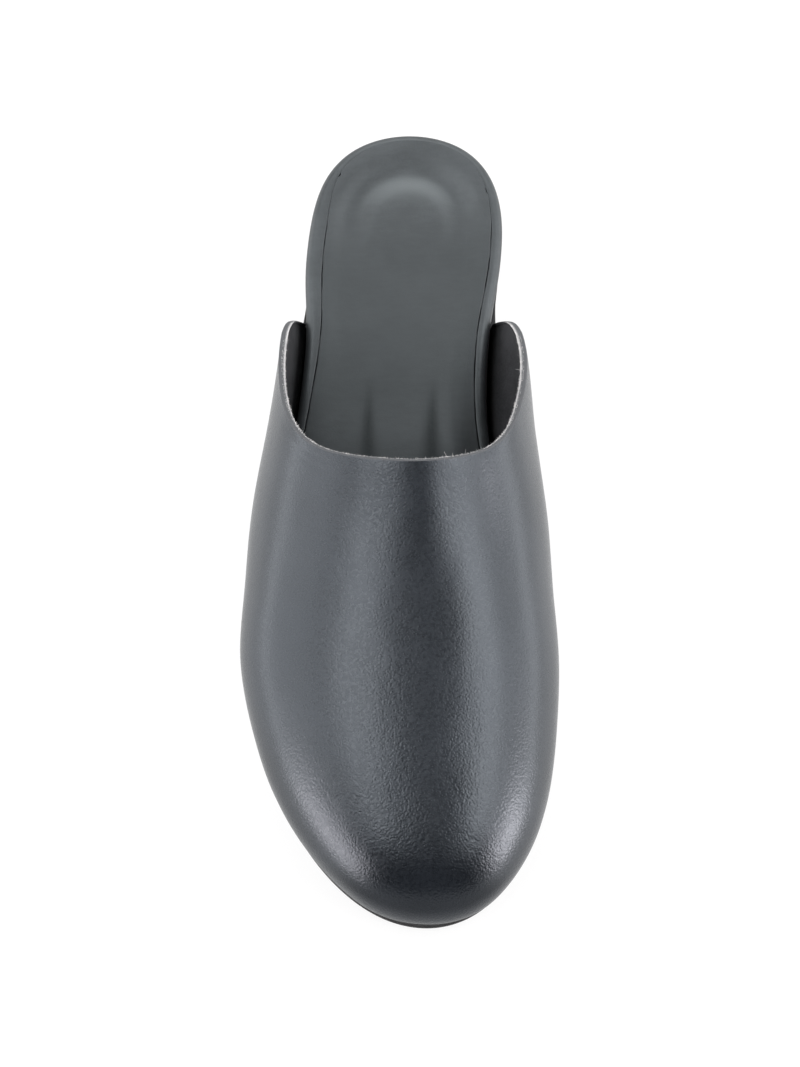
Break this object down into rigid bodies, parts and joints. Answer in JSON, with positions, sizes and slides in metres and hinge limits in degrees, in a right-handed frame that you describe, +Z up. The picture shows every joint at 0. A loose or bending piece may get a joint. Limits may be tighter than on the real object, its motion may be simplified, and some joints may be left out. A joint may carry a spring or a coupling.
{
  "type": "leather mule shoe",
  "caption": "Closed-toe slip-on leather mule for the right foot, open at the heel, with a contoured footbed, a thin rubber outsole and a low heel block.",
  "frame": {"origin": "on the ground under the middle of the shoe's box", "axes": "+Z up from the ground it stands on, +Y from the toe towards the heel, +X towards the inner side of the right foot"},
  "size_m": [0.1002, 0.263, 0.0678],
  "materials": {
    "upper_leather": "smooth black leather with a soft sheen and a raw-cut topline",
    "sock_leather": "fine matt leather, charcoal",
    "footbed_leather": "fine matt leather wrapped over the footbed's core, charcoal",
    "outsole_rubber": "matt black rubber",
    "heel_rubber": "matt black rubber"
  },
  "bodies": {
    "root": {"upper": "upper_leather", "insole_sock": "sock_leather", "footbed": "footbed_leather", "outsole": "outsole_rubber", "heel": "heel_rubber"}
  },
  "joints": []
}
